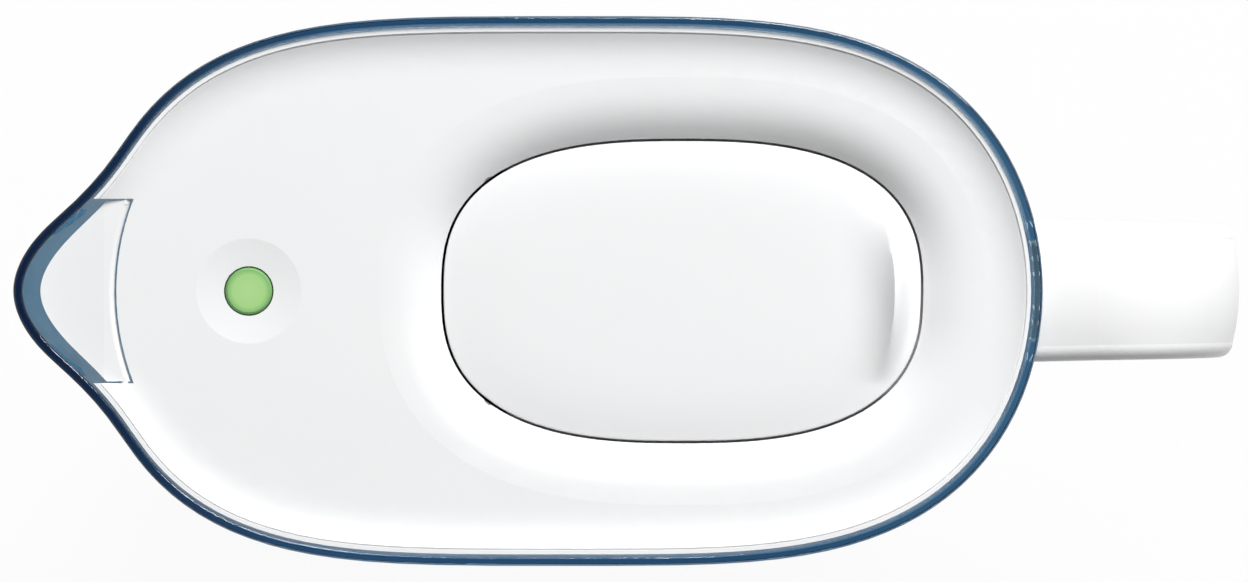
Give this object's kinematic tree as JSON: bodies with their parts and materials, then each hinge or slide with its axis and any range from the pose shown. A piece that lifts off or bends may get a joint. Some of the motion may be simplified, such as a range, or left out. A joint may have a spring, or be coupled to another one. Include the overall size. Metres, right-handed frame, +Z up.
{
  "type": "water filter pitcher",
  "caption": "Oval clear water jug with a pouring spout and a hollow handle, holding a funnel, a filter cartridge and a white lid with a filling flap, a spout flap and a change indicator.",
  "frame": {"origin": "middle of the base on the table, straight below the jug's own centre", "axes": "+Z up, -X towards the spout, +X towards the handle, +Y to the left of someone who pours"},
  "size_m": [0.2577, 0.115, 0.266],
  "materials": {
    "clear_plastic": "clear, blue in the thick edges",
    "white_plastic": "satin",
    "funnel_plastic": "satin",
    "grip_liner": "fine matt",
    "cartridge_plastic": "satin",
    "silicone": "soft matt",
    "mesh": "woven",
    "filter_grains": "granular",
    "lens": "frosted green",
    "board": "solder mask",
    "switch": "moulded",
    "led": "clear resin",
    "spring_steel": "nickel plated",
    "cell_steel": "bright"
  },
  "bodies": {
    "jug": {"jug": "clear_plastic", "handle_shell": "white_plastic", "handle_liner": "grip_liner"},
    "funnel": {"funnel": "funnel_plastic"},
    "cartridge": {"cartridge_cup": "cartridge_plastic", "cartridge_cap": "cartridge_plastic", "cartridge_seal": "silicone", "inlet_mesh": "mesh", "outlet_mesh": "mesh", "filter_media": "filter_grains"},
    "lid": {"lid": "white_plastic", "indicator_housing": "white_plastic", "indicator_cover": "white_plastic", "indicator_seal": "silicone", "circuit_board": "board", "led_chip": "led", "switch_body": "switch", "coin_cell": "cell_steel", "contact_negative": "spring_steel", "contact_positive": "spring_steel"},
    "fill_flap": {"fill_flap": "white_plastic"},
    "spout_flap": {"spout_flap": "white_plastic"},
    "indicator_button": {"indicator_lens": "lens", "switch_plunger": "switch"}
  },
  "joints": [
    {"name": "funnel_lift", "type": "slide", "parent": "jug", "child": "funnel", "axis": [0, 0, 1], "range_m": [0, 0.205]},
    {"name": "lid_lift", "type": "slide", "parent": "funnel", "child": "lid", "axis": [0, 0, 1], "range_m": [0, 0.08]},
    {"name": "cartridge_lift", "type": "slide", "parent": "funnel", "child": "cartridge", "axis": [0, 0, 1], "range_m": [0, 0.05]},
    {"name": "fill_flap_hinge", "type": "hinge", "parent": "lid", "child": "fill_flap", "pos_m": [-0.0192, 0, 0.2577], "axis": [0, -1, 0], "range_deg": [0, 85]},
    {"name": "spout_flap_hinge", "type": "hinge", "parent": "lid", "child": "spout_flap", "pos_m": [-0.095, 0, 0.2624], "axis": [0, 1, 0], "range_deg": [0, 70]},
    {"name": "indicator_press", "type": "slide", "parent": "lid", "child": "indicator_button", "axis": [0, 0, -1], "range_m": [0, 0.0008], "stiffness_N_per_m": 500}
  ]
}
